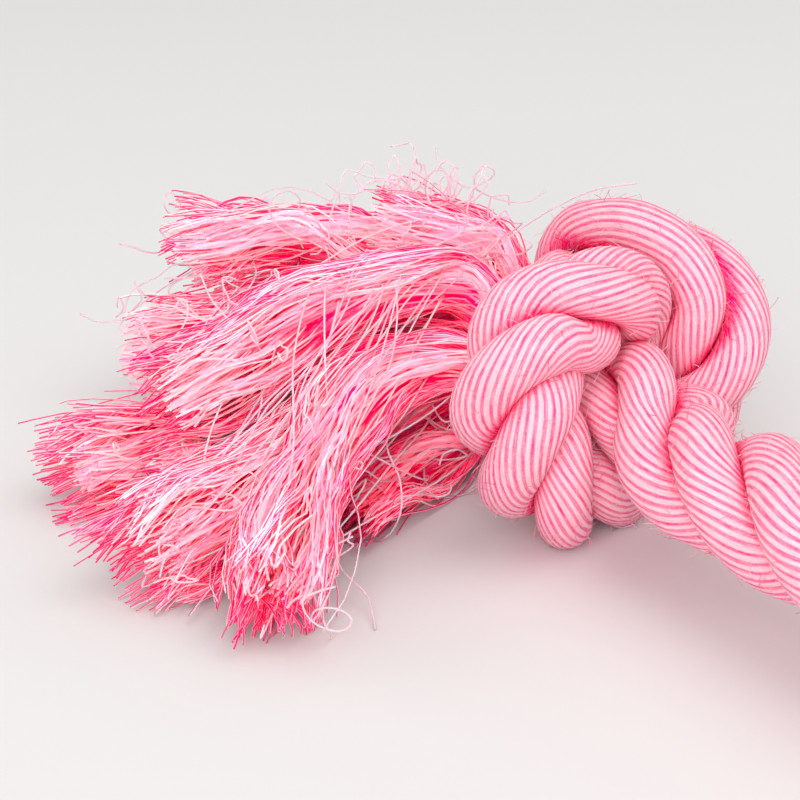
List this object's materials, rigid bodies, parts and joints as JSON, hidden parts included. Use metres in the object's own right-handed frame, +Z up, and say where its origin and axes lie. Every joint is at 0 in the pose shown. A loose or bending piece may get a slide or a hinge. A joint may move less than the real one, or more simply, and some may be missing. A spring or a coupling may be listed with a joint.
{
  "type": "rope dog toy",
  "caption": "Laid cotton rope dog toy with an overhand knot and an opened, fanned yarn tassel at each end, for chewing, tugging and throwing.",
  "frame": {"origin": "on the surface that the toy lies on, under the middle of the rope between the knots", "axes": "+X along the rope's shaft, from the pictured end at -X to the other end, +Z up, +Y across the rope"},
  "size_m": [0.3294, 0.1546, 0.0471],
  "materials": {
    "rope": "matte twisted cotton yarn",
    "tassel": "matte loose cotton yarn"
  },
  "bodies": {
    "shaft": {"shaft_strand_a": "rope", "shaft_strand_b": "rope", "shaft_strand_c": "rope"},
    "left_knot": {"left_knot_strand_a": "rope", "left_knot_strand_b": "rope", "left_knot_strand_c": "rope"},
    "right_knot": {"right_knot_strand_a": "rope", "right_knot_strand_b": "rope", "right_knot_strand_c": "rope"},
    "left_back_tuft": {"left_back_tuft_lock_1": "tassel", "left_back_tuft_lock_2": "tassel", "left_back_tuft_lock_3": "tassel"},
    "left_middle_tuft": {"left_middle_tuft_lock_1": "tassel", "left_middle_tuft_lock_2": "tassel", "left_middle_tuft_lock_3": "tassel"},
    "left_front_tuft": {"left_front_tuft_lock_1": "tassel", "left_front_tuft_lock_2": "tassel", "left_front_tuft_lock_3": "tassel"},
    "right_back_tuft": {"right_back_tuft_lock_1": "tassel", "right_back_tuft_lock_2": "tassel", "right_back_tuft_lock_3": "tassel"},
    "right_middle_tuft": {"right_middle_tuft_lock_1": "tassel", "right_middle_tuft_lock_2": "tassel", "right_middle_tuft_lock_3": "tassel"},
    "right_front_tuft": {"right_front_tuft_lock_1": "tassel", "right_front_tuft_lock_2": "tassel", "right_front_tuft_lock_3": "tassel"}
  },
  "joints": [
    {"name": "left_bend", "type": "hinge", "parent": "shaft", "child": "left_knot", "pos_m": [-0.039, 0, 0.0186], "axis": [0, 0, 1], "range_deg": [-60, 60], "stiffness_Nm_per_rad": 0.05, "deforming": ["shaft_strand_a", "shaft_strand_b", "shaft_strand_c"]},
    {"name": "right_bend", "type": "hinge", "parent": "shaft", "child": "right_knot", "pos_m": [0.039, 0, 0.0186], "axis": [0, 0, -1], "range_deg": [-60, 60], "stiffness_Nm_per_rad": 0.05, "deforming": ["shaft_strand_a", "shaft_strand_b", "shaft_strand_c"]},
    {"name": "left_back_lift", "type": "hinge", "parent": "left_knot", "child": "left_back_tuft", "pos_m": [-0.1135, 0.008, 0.0157], "axis": [-0.717, 0.6971, 0], "range_deg": [0, 40], "deforming": ["left_back_tuft_lock_1", "left_back_tuft_lock_2", "left_back_tuft_lock_3"]},
    {"name": "left_middle_lift", "type": "hinge", "parent": "left_knot", "child": "left_middle_tuft", "pos_m": [-0.1127, 0.0031, 0.008], "axis": [-1, 0, 0], "range_deg": [0, 40], "deforming": ["left_middle_tuft_lock_1", "left_middle_tuft_lock_2", "left_middle_tuft_lock_3"]},
    {"name": "left_front_lift", "type": "hinge", "parent": "left_knot", "child": "left_front_tuft", "pos_m": [-0.1061, 0.0027, 0.0143], "axis": [-0.9856, -0.1692, 0], "range_deg": [0, 40], "deforming": ["left_front_tuft_lock_1", "left_front_tuft_lock_2", "left_front_tuft_lock_3"]},
    {"name": "right_back_lift", "type": "hinge", "parent": "right_knot", "child": "right_back_tuft", "pos_m": [0.1135, -0.008, 0.0157], "axis": [0.717, -0.6971, 0], "range_deg": [0, 40], "deforming": ["right_back_tuft_lock_1", "right_back_tuft_lock_2", "right_back_tuft_lock_3"]},
    {"name": "right_middle_lift", "type": "hinge", "parent": "right_knot", "child": "right_middle_tuft", "pos_m": [0.1127, -0.0031, 0.008], "axis": [1, 0, 0], "range_deg": [0, 40], "deforming": ["right_middle_tuft_lock_1", "right_middle_tuft_lock_2", "right_middle_tuft_lock_3"]},
    {"name": "right_front_lift", "type": "hinge", "parent": "right_knot", "child": "right_front_tuft", "pos_m": [0.1061, -0.0027, 0.0143], "axis": [0.9856, 0.1692, 0], "range_deg": [0, 40], "deforming": ["right_front_tuft_lock_1", "right_front_tuft_lock_2", "right_front_tuft_lock_3"]}
  ]
}
